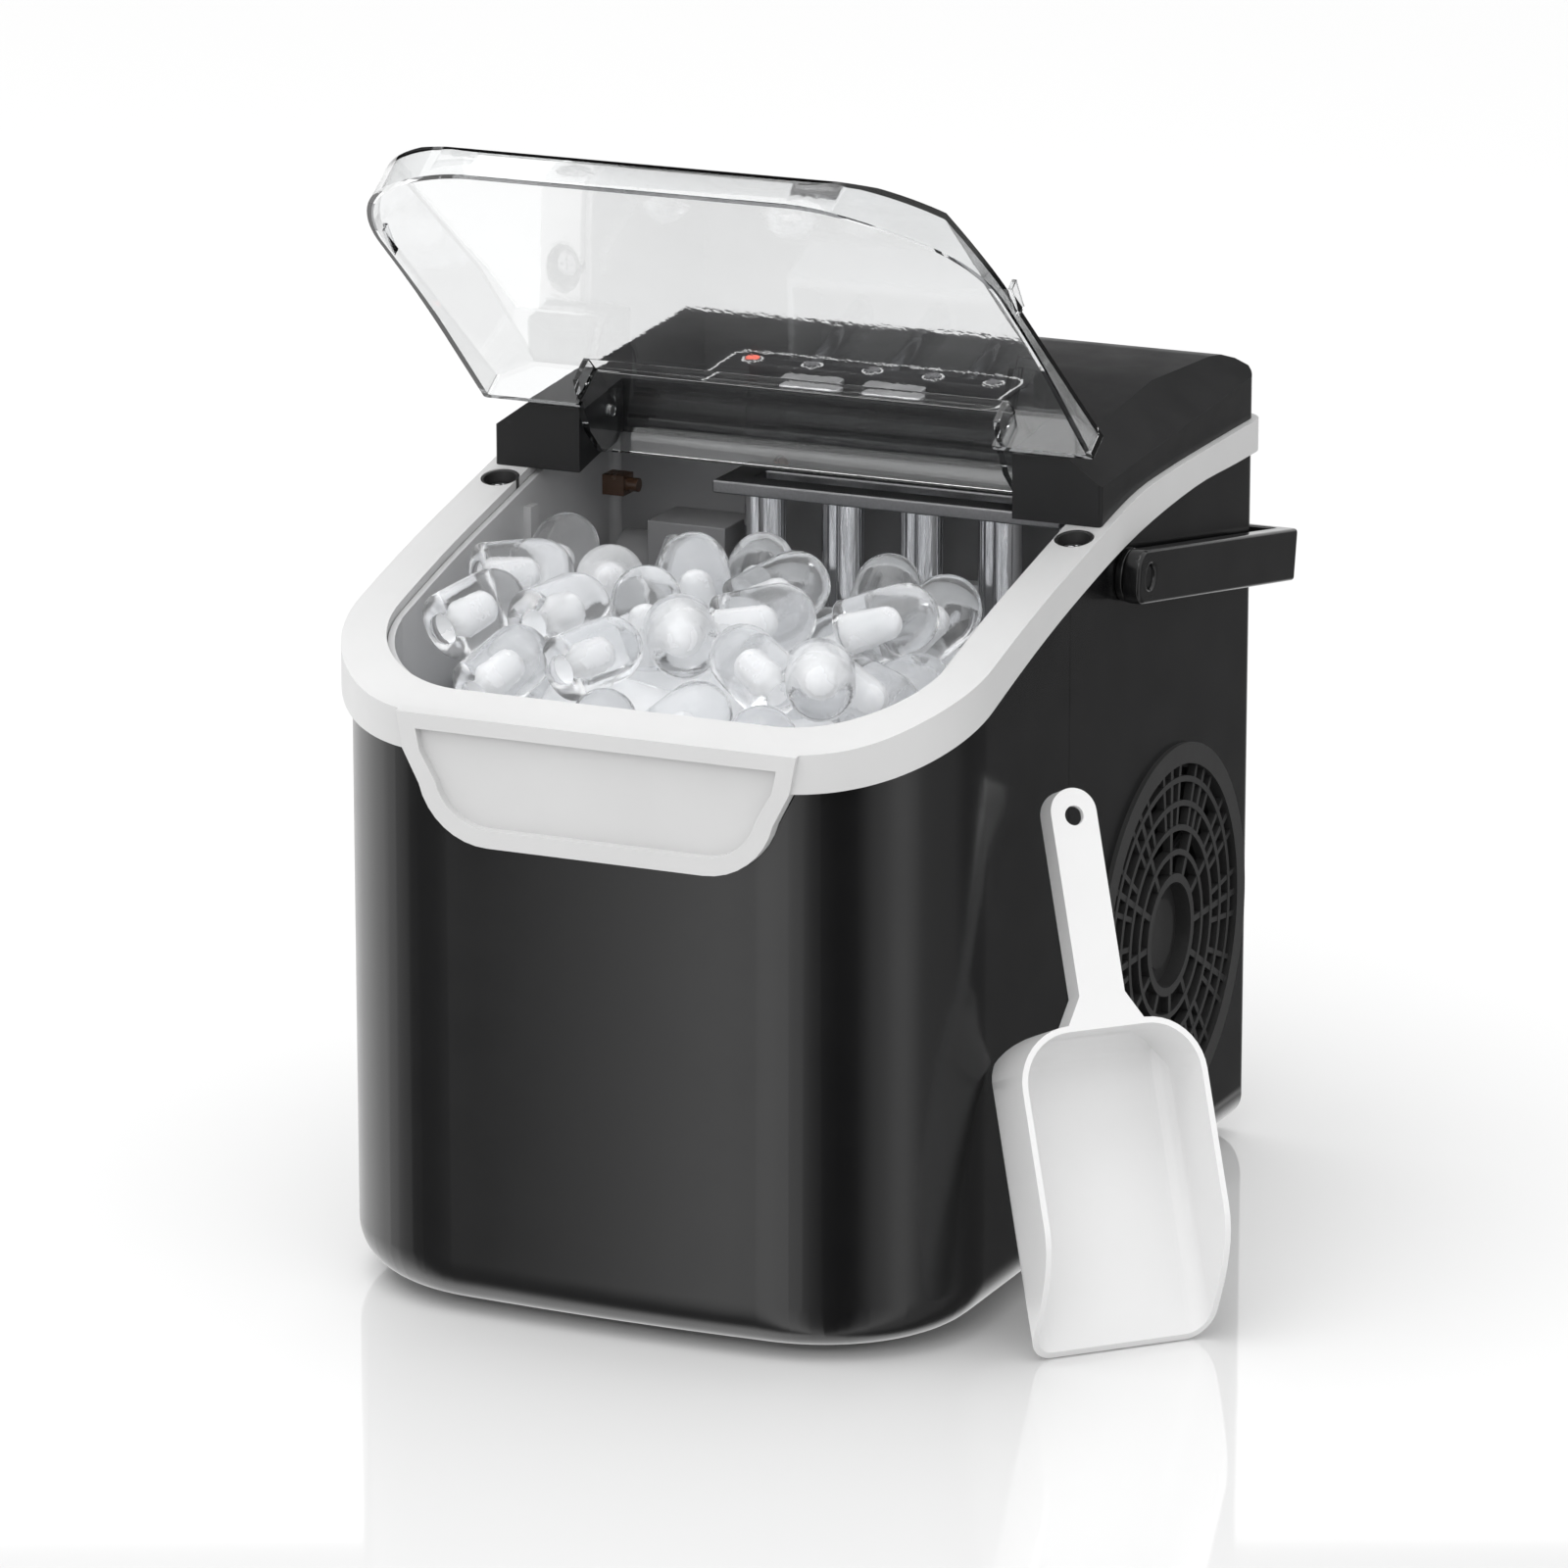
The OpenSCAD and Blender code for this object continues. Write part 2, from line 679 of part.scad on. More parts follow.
module refrigerant_lines() {
    mid = bar_z + bar_s / 2;
    color("#b5713f") {
        // Discharge line to the condenser
        pipe([[comp[0] - 12, comp[1] - 16, 120], [comp[0] - 12, comp[1] - 16, 132], [14, comp[1] - 16, 132],
            [14, 40, 132], [33.5, 40, 132]], 3);
        // Liquid line to the evaporator
        pipe([[83.75, rear_row + bar_s / 2, mid], [83.75, 96, mid], [83.75, 96, 160], [44, 96, 160], [44, 96, 148]], 3);
        // Suction line back to the compressor
        pipe([[-30.25, rear_row + bar_s / 2, mid], [-30.25, 92, mid], [-30, 92, 120]], 3);
    }
}

// ---------- evaporator and water tray ----------

module evaporator() {
    color("#c0c2c4") {
        box([-36, front_row - bar_s / 2, bar_z], [90, front_row + bar_s / 2, bar_z + bar_s]);
        box([-36, rear_row - bar_s / 2, bar_z], [90, rear_row + bar_s / 2, bar_z + bar_s]);
        box([-36, front_row, bar_z], [-25, rear_row, bar_z + bar_s]);
    }
}

module finger(x, y) {
    rod_z(bar_z - finger_l + finger_r, bar_z, x, y, finger_r);
    translate([x, y, bar_z - finger_l + finger_r]) sphere(finger_r);
}
module ice_fingers() {
    color("#d9dadc") {
        for (x = front_fingers) finger(x, front_row);
        for (x = rear_fingers) finger(x, rear_row);
    }
}

module water_tray() {
    outer = [[11.6, 208], [11.6, 190], [16, 184], [43, 184], [54, 196], [58, 203], [58, 210.5],
        [52.2, 210.5], [52.2, 208]];
    inner = [[13.8, 209], [13.8, 191], [17, 186.2], [42, 186.2], [50.5, 195.8], [51.4, 209]];
    color("#e3e4e6") difference() {
        union() {
            across(tray_x[0], tray_x[1]) polygon(outer);
            rod_x(tray_x[0] - 14, tray_x[0] + 2, tray_y, tray_z, shaft_r);
            rod_x(tray_x[1] - 2, liner_x - 0.4, tray_y, tray_z, shaft_r);
        }
        across(tray_x[0] + 2, tray_x[1] - 2) polygon(inner);
    }
}

module tray_motor() {
    color("#3a3a3c") difference() {
        union() {
            box([-70, 40, 192], [tray_x[0] - 2, 62.8, 224]);
            rod_x(-84, -70, tray_y - 2, tray_z, 10);
        }
        rod_x(-56, tray_x[0] + 1, tray_y, tray_z, shaft_r + run_gap);
    }
}

module rear_baffle() {
    color("#2a2a2c") difference() {
        box([-90.5, 63, shelf_z + 2.4], [90.5, 65.4, 250]);
        for (x = [-30.25, 83.75]) rod_y(60, 70, x, bar_z + bar_s / 2, 3.4);
    }
}

module ice_sensor() {
    color("#b06a28") {
        box([-82, 30, 234], [-74, 38, 241]);
        rod_x(-74.1, -70, 34, 237.5, 2.4);
    }
}

module water_probe() {
    color("#c9cbcd") for (x = [-60, -50]) {
        rod_z(tub_z + 6, 104, x, -1.5 - 4, 1.5);
        box([x - 3, -8.5, 104], [x + 3, -1.0, 110]);
    }
}

module water_pump() {
    color("#2d2f33") {
        rod_z(7.1, 38, 40, -62, 20);
        rod_z(37.9, 44, 40, -62, 12);
        rod_x(55, 68, -62, 20, 4);
    }
}

module water_hose() {
    color("#d8d9da") pipe([[68, -62, 20], [84, -62, 20], [84, 4, 20], [84, 4, 150], [98, 4, 150]], 3.5);
}

// ---------- drain, cord outlet and screws ----------

module drain_spout() {
    color("#d0d0d0") difference() {
        union() {
            rod_x(-side_x + 0.2, -side_x + 14, -60, 34, 7.5);
            pipe([[-side_x + 13, -60, 34], [-90, -60, 34], [-90, -60, 62]], 5);
        }
        rod_x(-side_x - 1, -side_x + 12, -60, 34, 4.5);
    }
}

module drain_plug() {
    color("#3b3b3d") {
        rod_x(-side_x - 2.8, -side_x - 0.3, -60, 34, 9);
        rod_x(-side_x - 0.4, -side_x + 10, -60, 34, 4.45);
    }
}

module cord_gland() {
    color("#19191a") difference() {
        union() {
            rod_y(end_y - wall, end_y, -82, 34, 7);
            rod_y(end_y, end_y + 5, -82, 34, 9);
            rod_y(end_y - wall - 4, end_y - wall, -82, 34, 9);
        }
        rod_y(end_y - 12, end_y + 8, -82, 34, 3.6);
    }
}

module case_screws() {
    color("#5c5c5e") for (x = [-98, 98]) for (z = [26, 130, 232]) difference() {
        rod_y(end_y, end_y + 1.6, x, z, 3);
        for (a = [0, 90]) translate([x, end_y + 1.6, z]) rotate([0, a, 0]) cube([3.6, 1.2, 0.8], center = true);
    }
}

// ---------- scoop ----------

// Outline of the bowl from its lip, as across and along
module bowl_outline(inset) {
    edge = inset == 0 ? 0 : -1;
    top_r = 19;
    half = concat([[scoop_w / 2 - 2.5, edge], [scoop_w / 2 - inset, 4]],
        arc(scoop_w / 2 - top_r, bowl_l - top_r, top_r - inset, 0, 90, 10));
    polygon(concat(half, mirrored(half)));
}
// Side of the bowl: straight floor, round heel, level top edge that sweeps down to the lip
module bowl_side(inset) {
    sweep = [for (i = [10:-1:1]) [bowl_rise * i / 10, bowl_depth * (sin(9 * i) - 1)]];
    open_top = [[bowl_l - inset, 9], [-1, 9], [-1, -bowl_depth + inset]];
    heel = arc(bowl_l - heel_r, -bowl_depth + heel_r, heel_r - inset, -90, 0, 8);
    floor_start = [[0, -bowl_depth + inset]];
    polygon(concat(floor_start, heel, inset == 0 ? concat([[bowl_l, 0]], sweep) : open_top));
}
// Section of the bowl: upright sides with a round turn into the floor
module bowl_section(inset) {
    turn = 9;
    translate([0, -bowl_depth + turn]) {
        translate([-scoop_w / 2 + inset, 0]) square([scoop_w - 2 * inset, 60]);
        translate([-scoop_w / 2 + turn, -turn + inset]) square([scoop_w - 2 * turn, 60]);
        for (s = [-1, 1]) translate([s * (scoop_w / 2 - turn), 0]) circle(turn - inset);
    }
}
module bowl_solid(inset) {
    intersection() {
        translate([0, 0, -60]) linear_extrude(height = 120) bowl_outline(inset);
        across(-60, 60) bowl_side(inset);
        along(-20, bowl_l + 20) bowl_section(inset);
    }
}
// Outline of the grip: two gussets at the bowl, straight sides and a round end
module grip_outline(inset) {
    gusset = 7;
    start = inset == 0 ? bowl_l - 3 : bowl_l + inset;
    half = concat(inset == 0 ? [[grip_w / 2 + gusset, start], [grip_w / 2, bowl_l + 9]] : [[grip_w / 2 - inset, start]],
        arc(0, scoop_l - grip_w / 2, grip_w / 2 - inset, 0, 90, 10));
    polygon(concat(half, mirrored(half)));
}
module flat_scoop() {
    difference() {
        union() {
            bowl_solid(0);
            translate([0, 0, -grip_t]) linear_extrude(height = grip_t) grip_outline(0);
        }
        bowl_solid(scoop_t);
        translate([0, 0, -grip_t - 1]) linear_extrude(height = grip_t + 1 - scoop_t) grip_outline(scoop_t);
        translate([0, scoop_l - 9, -5]) cylinder(h = 8, r = grip_hole_r);
    }
}
module scoop() {
    color("#f2f2f2") translate(scoop_lip) rotate([0, 0, scoop_turn]) rotate([90 - scoop_lean, 0, 0])
        translate([0, 0, bowl_depth]) flat_scoop();
}

front_panel();
rear_housing();
base_pan();
feet();
top_rim();
inner_liner();
rear_cover();
control_panel();
led_lenses();
button_power();
button_select();
control_board();
lid();
lid_clips();
hinge_pins();
screw_cups();
rim_screws();
carry_handle();
handle_pivots();
fan_grille();
fan_shroud();
fan_motor();
fan_blade();
condenser();
compressor();
compressor_mounts();
refrigerant_lines();
evaporator();
ice_fingers();
water_tray();
tray_motor();
rear_baffle();
ice_sensor();
water_probe();
water_pump();
water_hose();
ice_basket();
drain_spout();
drain_plug();
cord_gland();
case_screws();
scoop();
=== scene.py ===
import json
import math
import random

import bmesh
import bpy
from mathutils import Matrix, Vector
from mathutils.bvhtree import BVHTree


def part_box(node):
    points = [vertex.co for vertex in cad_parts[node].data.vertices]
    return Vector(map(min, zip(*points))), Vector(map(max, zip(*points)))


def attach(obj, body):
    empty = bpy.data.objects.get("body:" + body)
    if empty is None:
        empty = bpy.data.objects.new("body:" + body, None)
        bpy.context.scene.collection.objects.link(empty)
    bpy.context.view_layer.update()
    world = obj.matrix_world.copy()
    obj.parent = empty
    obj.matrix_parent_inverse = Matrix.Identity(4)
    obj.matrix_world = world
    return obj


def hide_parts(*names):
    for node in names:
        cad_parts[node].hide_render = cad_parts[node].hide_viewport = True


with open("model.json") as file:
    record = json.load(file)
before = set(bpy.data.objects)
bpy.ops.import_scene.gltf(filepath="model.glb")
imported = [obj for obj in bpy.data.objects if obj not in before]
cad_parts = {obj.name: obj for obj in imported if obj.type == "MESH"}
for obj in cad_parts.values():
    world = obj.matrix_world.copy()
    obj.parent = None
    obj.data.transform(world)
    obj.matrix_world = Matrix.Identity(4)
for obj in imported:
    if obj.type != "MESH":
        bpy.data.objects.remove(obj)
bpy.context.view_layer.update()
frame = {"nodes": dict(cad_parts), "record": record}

MM = 0.001
NODES = frame["nodes"]


# ---------------------------------------------------------------- camera
CAMERA_AZIMUTH = math.radians(24.35)
CAMERA_ELEVATION = math.radians(15.46)
CAMERA_DISTANCE = 2.8689
CAMERA_LENS_MM = 197.5
TARGET_HEIGHT = 0.1494
TARGET_ASIDE = -0.0009

to_camera = Vector((
    math.sin(CAMERA_AZIMUTH) * math.cos(CAMERA_ELEVATION),
    -math.cos(CAMERA_AZIMUTH) * math.cos(CAMERA_ELEVATION),
    math.sin(CAMERA_ELEVATION),
))
rightwards = Vector((math.cos(CAMERA_AZIMUTH), math.sin(CAMERA_AZIMUTH), 0))
target = rightwards * TARGET_ASIDE + Vector((0, 0, TARGET_HEIGHT))
camera = bpy.data.objects.new("camera", bpy.data.cameras.new("camera"))
bpy.context.scene.collection.objects.link(camera)
camera.location = target + to_camera * CAMERA_DISTANCE
camera.rotation_mode = "QUATERNION"
camera.rotation_quaternion = (-to_camera).to_track_quat("-Z", "Y")
camera.data.lens = CAMERA_LENS_MM
camera.data.sensor_width = 36
bpy.context.scene.camera = camera
bpy.context.scene.view_settings.view_transform = "Standard"


# ---------------------------------------------------------------- materials
def new_tree(name):
    """A material with an empty Principled shader, its tree and the shader."""
    material = bpy.data.materials.new(name)
    material.use_nodes = True
    tree = material.node_tree
    shader = next(n for n in tree.nodes if n.type == "BSDF_PRINCIPLED")
    return material, tree, shader


def place(tree):
    """Object coordinates, in metres."""
    return tree.nodes.new("ShaderNodeTexCoord").outputs["Object"]


def noise(tree, where, scale, detail):
    node = tree.nodes.new("ShaderNodeTexNoise")
    node.inputs["Scale"].default_value = scale
    node.inputs["Detail"].default_value = detail
    node.inputs["Roughness"].default_value = 0.55
    tree.links.new(where, node.inputs["Vector"])
    return node.outputs["Fac"]


# Noise seldom leaves this range, which is stretched over the whole range asked for.
NOISE_LOW, NOISE_HIGH = 0.3, 0.7


def spread(tree, value, low, high):
    """Maps a texture's value onto low..high."""
    node = tree.nodes.new("ShaderNodeMapRange")
    node.inputs["From Min"].default_value = NOISE_LOW
    node.inputs["From Max"].default_value = NOISE_HIGH
    node.inputs["To Min"].default_value = low
    node.inputs["To Max"].default_value = high
    tree.links.new(value, node.inputs["Value"])
    return node.outputs["Result"]


def tint(tree, value, dark, light):
    """Maps a texture's value onto a colour between dark and light."""
    node = tree.nodes.new("ShaderNodeValToRGB")
    node.color_ramp.elements[0].position = NOISE_LOW
    node.color_ramp.elements[1].position = NOISE_HIGH
    node.color_ramp.elements[0].color = (*dark, 1)
    node.color_ramp.elements[1].color = (*light, 1)
    tree.links.new(value, node.inputs["Fac"])
    return node.outputs["Color"]


def bump(tree, shader, height, distance):
    node = tree.nodes.new("ShaderNodeBump")
    node.inputs["Strength"].default_value = 1.0
    node.inputs["Distance"].default_value = distance
    tree.links.new(height, node.inputs["Height"])
    tree.links.new(node.outputs["Normal"], shader.inputs["Normal"])


def scaled(colour, factor):
    return tuple(min(1.0, c * factor) for c in colour)


def moulded(name, colour, rough, grain=1800.0, depth=0.00002, vary=0.06, rough_vary=0.05, specular=0.5):
    """Moulded plastic or rubber: a fine grain, slow colour drift and uneven gloss. Depths are in metres."""
    material, tree, shader = new_tree(name)
    where = place(tree)
    drift = noise(tree, where, 22.0, 4.0)
    colours = tint(tree, drift, scaled(colour, 1 - vary), scaled(colour, 1 + vary))
    tree.links.new(colours, shader.inputs["Base Color"])
    gloss = spread(tree, noise(tree, where, 60.0, 5.0), rough - rough_vary, rough + rough_vary)
    tree.links.new(gloss, shader.inputs["Roughness"])
    shader.inputs["Specular IOR Level"].default_value = specular
    bump(tree, shader, noise(tree, where, grain, 2.0), depth)
    return material


def metal(name, colour, rough, stretch=(1, 1, 1), grain=900.0, depth=0.00001, vary=0.08, rough_vary=0.06):
    """Metal with drawn or cast marks; stretch squeezes the marks along an axis."""
    material, tree, shader = new_tree(name)
    mapping = tree.nodes.new("ShaderNodeMapping")
    mapping.inputs["Scale"].default_value = stretch
    tree.links.new(place(tree), mapping.inputs["Vector"])
    where = mapping.outputs["Vector"]
    marks = noise(tree, where, grain, 3.0)
    colours = tint(tree, marks, scaled(colour, 1 - vary), scaled(colour, 1 + vary))
    tree.links.new(colours, shader.inputs["Base Color"])
    gloss = spread(tree, noise(tree, where, 120.0, 4.0), max(0.02, rough - rough_vary), rough + rough_vary)
    tree.links.new(gloss, shader.inputs["Roughness"])
    shader.inputs["Metallic"].default_value = 1.0
    bump(tree, shader, marks, depth)
    return material


def clear(name, colour, rough, ior):
    """Clear plastic: glass with slight haze and a faint surface wave."""
    material, tree, shader = new_tree(name)
    where = place(tree)
    haze = noise(tree, where, 40.0, 3.0)
    tree.links.new(tint(tree, haze, scaled(colour, 0.985), colour), shader.inputs["Base Color"])
    tree.links.new(spread(tree, haze, rough * 0.6, rough * 1.4), shader.inputs["Roughness"])
    shader.inputs["Transmission Weight"].default_value = 1.0
    shader.inputs["IOR"].default_value = ior
    bump(tree, shader, noise(tree, where, 300.0, 2.0), 0.00001)
    return material


BLACK = (0.0055, 0.0055, 0.0058)
CHARCOAL = (0.0125, 0.0125, 0.013)
finish = {
    "casing_black": moulded("casing_black", BLACK, 0.2, grain=2600, depth=0.000002, rough_vary=0.02),
    "cover_charcoal": moulded("cover_charcoal", CHARCOAL, 0.4, grain=3200, depth=0.00002, specular=0.24),
    "rim_grey": moulded("rim_grey", (0.60, 0.60, 0.60), 0.42, grain=2400, depth=0.00001, vary=0.02),
    "liner_grey": moulded("liner_grey", (0.50, 0.50, 0.505), 0.45, grain=2400, depth=0.00001, vary=0.03),
    "clear_lid": clear("clear_lid", (0.955, 0.962, 0.965), 0.012, 1.49),
    "panel_film": moulded("panel_film", scaled(CHARCOAL, 0.97), 0.36, grain=3600, depth=0.00001, specular=0.4),
    "led_clear": moulded("led_clear", (0.16, 0.16, 0.165), 0.3, grain=900, depth=0.00002),
    "button_silver": metal("button_silver", (0.66, 0.66, 0.67), 0.5, grain=2600, depth=0.000008),
    "board_green": moulded("board_green", (0.02, 0.13, 0.045), 0.4, grain=700, depth=0.00006),
    "steel": metal("steel", (0.5, 0.5, 0.51), 0.32, stretch=(1, 1, 0.2)),
    "chrome_metal": metal("chrome_metal", (0.78, 0.78, 0.79), 0.12, stretch=(1, 1, 0.05), rough_vary=0.03),
    "aluminium_fins": metal("aluminium_fins", (0.62, 0.62, 0.63), 0.36, stretch=(1, 0.3, 0.1)),
    "compressor_paint": moulded("compressor_paint", (0.014, 0.014, 0.014), 0.3, grain=900, depth=0.00003),
    "copper_pipe": metal("copper_pipe", (0.62, 0.30, 0.17), 0.28, grain=500, vary=0.2),
    "rubber_black": moulded("rubber_black", (0.018, 0.018, 0.018), 0.72, grain=1500, depth=0.00004),
    "inner_dark": moulded("inner_dark", (0.022, 0.022, 0.022), 0.45, grain=2200, depth=0.00002),
    "tray_white": moulded("tray_white", (0.66, 0.67, 0.68), 0.4, grain=2200, depth=0.00001, vary=0.02),
    "basket_clear": moulded("basket_clear", (0.55, 0.56, 0.57), 0.35, grain=2000, depth=0.00002, vary=0.03),
    "hose_clear": moulded("hose_clear", (0.05, 0.05, 0.05), 0.4, grain=1200, depth=0.00002),
    "sensor_amber": moulded("sensor_amber", (0.045, 0.022, 0.012), 0.25, grain=1200, depth=0.00001),
    "scoop_white": moulded("scoop_white", (0.80, 0.80, 0.80), 0.34, grain=2400, depth=0.000008, vary=0.012),
}
baffle_grey = moulded("baffle_grey", (0.26, 0.26, 0.265), 0.35, grain=2000, depth=0.00001, vary=0.03)
plate_dark = metal("plate_dark", (0.2, 0.2, 0.205), 0.4)
SLOTS = {p["node"]: p["material_slot"] for p in frame["record"]["subparts"]}
for name, node in NODES.items():
    node.data.materials.clear()
    node.data.materials.append(finish[SLOTS[name]])


# ---------------------------------------------------------------- mesh helpers
def surface_tree(mesh):
    """A search tree over a mesh's faces, for casting rays at it."""
    return BVHTree.FromPolygons([v.co for v in mesh.vertices], [p.vertices for p in mesh.polygons])


def finished_mesh(name, bm):
    """The built mesh with its faces turned outwards; the builder's copy is freed."""
    bmesh.ops.recalc_face_normals(bm, faces=bm.faces)
    mesh = bpy.data.meshes.new(name)
    bm.to_mesh(mesh)
    bm.free()
    return mesh


def body_of_node(name):
    bodies = frame["record"]["behaviour"]["bodies"]
    return next(b for b, members in bodies.items() if name in members)


def piece(name, mesh, body, slot, material=None):
    """A new object for a mesh, riding on a body, with a slot's finish."""
    obj = bpy.data.objects.new(name, mesh)
    bpy.context.scene.collection.objects.link(obj)
    if not mesh.materials:
        mesh.materials.append(material or finish[slot])
    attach(obj, body)
    return obj


def settle_shading(obj):
    """Smooth shading with hard edges only where faces turn sharply, weighted by face area."""
    for polygon in obj.data.polygons:
        polygon.use_smooth = True
    obj.data.set_sharp_from_angle(angle=math.radians(35))
    weighted = obj.modifiers.new("weighted", "WEIGHTED_NORMAL")
    weighted.keep_sharp = True
    weighted.weight = 60


def softened(node, width, edge_material=None):
    """The node's shape with its edges rounded to a width in metres, standing in for the node."""
    mesh = NODES[node].data.copy()
    for attribute in ("custom_normal", "sharp_edge", "sharp_face"):
        if attribute in mesh.attributes:
            mesh.attributes.remove(mesh.attributes[attribute])
    bm = bmesh.new()
    bm.from_mesh(mesh)
    bmesh.ops.remove_doubles(bm, verts=bm.verts, dist=2e-6)
    if node not in SLOTTED:
        bmesh.ops.dissolve_limit(bm, angle_limit=math.radians(0.3), verts=bm.verts, edges=bm.edges)
    bm.to_mesh(mesh)
    bm.free()
    obj = piece(node + "_moulded", mesh, body_of_node(node), SLOTS[node])
    bevel = obj.modifiers.new("edge", "BEVEL")
    bevel.limit_method = "ANGLE"
    bevel.angle_limit = math.radians(28)
    bevel.width = width
    bevel.segments = 3
    bevel.miter_outer = "MITER_ARC"
    if edge_material:
        mesh.materials.append(edge_material)
        bevel.material = 1
    depsgraph = bpy.context.evaluated_depsgraph_get()
    rounded = bpy.data.meshes.new_from_object(obj.evaluated_get(depsgraph))
    obj.modifiers.clear()
    obj.data = rounded
    settle_shading(obj)
    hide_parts(node)
    return obj


# Nodes whose flat faces are cut by rows of slots: these keep their triangles.
SLOTTED = ("rear_housing", "ice_basket", "fan_shroud")
# Width of each node's rounded edges, in millimetres.
EDGES = {
    "front_panel": 0.5, "rear_housing": 0.5, "top_rim": 0.9, "rear_cover": 0.8, "carry_handle": 1.3,
    "handle_pivots": 0.7, "fan_grille": 0.35, "fan_blade": 0.3, "lid": 0.7, "lid_clips": 0.3,
    "scoop": 0.7, "button_power": 0.5, "button_select": 0.5, "inner_liner": 0.6, "ice_basket": 0.4,
    "water_tray": 0.5, "tray_motor": 0.8, "rear_baffle": 0.5, "evaporator": 0.8, "screw_cups": 0.3,
    "rim_screws": 0.25, "case_screws": 0.2, "feet": 0.8, "base_pan": 0.5, "cord_gland": 0.5,
    "drain_plug": 0.6, "ice_sensor": 0.4, "fan_shroud": 0.4,
}
# Dark glass on the lid's rounded edges, and on its cut edge below: painted shade for the dark lines a clear
# edge shows where it is seen end on.
lid_edge_painted_shade = clear("clear_lid_painted_edge_shade", (0.07, 0.072, 0.075), 0.02, 1.49)
shells = {
    node: softened(node, width * MM, edge_material=lid_edge_painted_shade if node == "lid" else None)
    for node, width in EDGES.items()
}


shells["rear_baffle"].data.materials[0] = baffle_grey
shells["tray_motor"].data.materials[0] = baffle_grey
shells["evaporator"].data.materials[0] = plate_dark


def raise_evaporator(lift=0.006):
    """The bar that carries the fingers shows only as a thin strip, so its underside is higher."""
    low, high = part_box("evaporator")
    for vertex in shells["evaporator"].data.vertices:
        if vertex.co.z < (low.z + high.z) / 2:
            vertex.co.z += lift
    mesh = NODES["ice_fingers"].data.copy()
    for vertex in mesh.vertices:
        if vertex.co.z > low.z - 0.0005:
            vertex.co.z += lift
    fingers = piece("ice_fingers_chrome", mesh, body_of_node("ice_fingers"), SLOTS["ice_fingers"])
    settle_shading(fingers)
    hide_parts("ice_fingers")


raise_evaporator()


def darken_cut_edge(obj, deep=0.006):
    """The lid's cut edge, where the clear sheet is seen end on, takes the dark edge glass: painted shade for
    the dark line such an edge shows.
    """
    tree = surface_tree(obj.data)
    opened = math.radians(56)
    under = Vector((0, -math.sin(opened), -math.cos(opened)))
    for polygon in obj.data.polygons:
        normal = polygon.normal
        if normal.dot(under) < 0.6:
            continue
        hit = tree.ray_cast(polygon.center - normal * 1e-5, -normal)[3]
        if hit is None or hit > deep:
            polygon.material_index = 1


darken_cut_edge(shells["lid"])


def bow_front(obj):
    """The moulded front is very slightly crowned: its middle stays, its sides fall back a little."""
    full_slope, crown, fade_end = 0.05, 0.045, 0.085
    fade_from, fade_to = -0.09, -0.02
    bm = bmesh.new()
    bm.from_mesh(obj.data)
    for step in range(-16, 17):
        parts = bm.verts[:] + bm.edges[:] + bm.faces[:]
        bmesh.ops.bisect_plane(bm, geom=parts, dist=1e-6, plane_co=(step * 0.005, 0, 0), plane_no=(1, 0, 0))
    for vertex in bm.verts:
        across = min(abs(vertex.co.x), fade_end)
        fall = full_slope * min(across, crown) ** 2 / (2 * crown)
        if across > crown:
            run = (across - crown) / (fade_end - crown)
            fall += full_slope * (fade_end - crown) * (run - run * run / 2)
        share = (fade_to - vertex.co.y) / (fade_to - fade_from)
        vertex.co.y += fall * max(0.0, min(1.0, share))
    bm.to_mesh(obj.data)
    bm.free()


bow_front(shells["front_panel"])


# ---------------------------------------------------------------- control panel print
PANEL_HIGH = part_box("control_panel")[1]
FILM = surface_tree(NODES["control_panel"].data)
PANEL_SLOPE = math.radians(5.143)
PANEL_Y, PANEL_Z = 0.062, 0.27556
FILM_THICKNESS = 0.0004
LAMP_STEP, LAMP_ROW = 0.0222, 0.009
RING_OUTER, RING_INNER = 0.0038, 0.0030
PRINT_FOOT, PRINT_TOP = 0.00002, 0.00012


def on_panel(x, along, lift):
    """A point on the sloping panel, from its middle, lifted off the film."""
    y = PANEL_Y + along * math.cos(PANEL_SLOPE)
    hit = FILM.ray_cast(Vector((x, y, 0.4)), Vector((0, 0, -1)))[0]
    level = hit.z if hit else PANEL_HIGH.z
    plain = PANEL_Z + along * math.sin(PANEL_SLOPE) + FILM_THICKNESS
    return Vector((x, y, max(min(level, plain + 0.0006), plain) + lift))


def rounded_loop(half_x, half_y, radius, steps=9):
    """Points round a rectangle with round corners."""
    points = []
    for cx, cy, start in ((1, 1, 0), (-1, 1, 90), (-1, -1, 180), (1, -1, 270)):
        for i in range(steps):
            a = math.radians(start + 90 * i / (steps - 1))
            x = cx * (half_x - radius) + radius * math.cos(a)
            points.append((x, cy * (half_y - radius) + radius * math.sin(a)))
    return points


def printed_ring(bm, outer, inner, middle):
    """A raised closed ring on the panel between two loops of the same number of points."""
    rows = []
    for loop, lift in ((outer, PRINT_FOOT), (outer, PRINT_TOP), (inner, PRINT_TOP), (inner, PRINT_FOOT)):
        rows.append([bm.verts.new(on_panel(middle[0] + x, middle[1] + y, lift)) for x, y in loop])
    count = len(outer)
    for row, after in zip(rows, rows[1:] + rows[:1]):
        for i in range(count):
            j = (i + 1) % count
            bm.faces.new((row[i], row[j], after[j], after[i]))


def circle_loop(radius, steps=36):
    angles = [math.tau * i / steps for i in range(steps)]
    return [(radius * math.cos(a), radius * math.sin(a)) for a in angles]


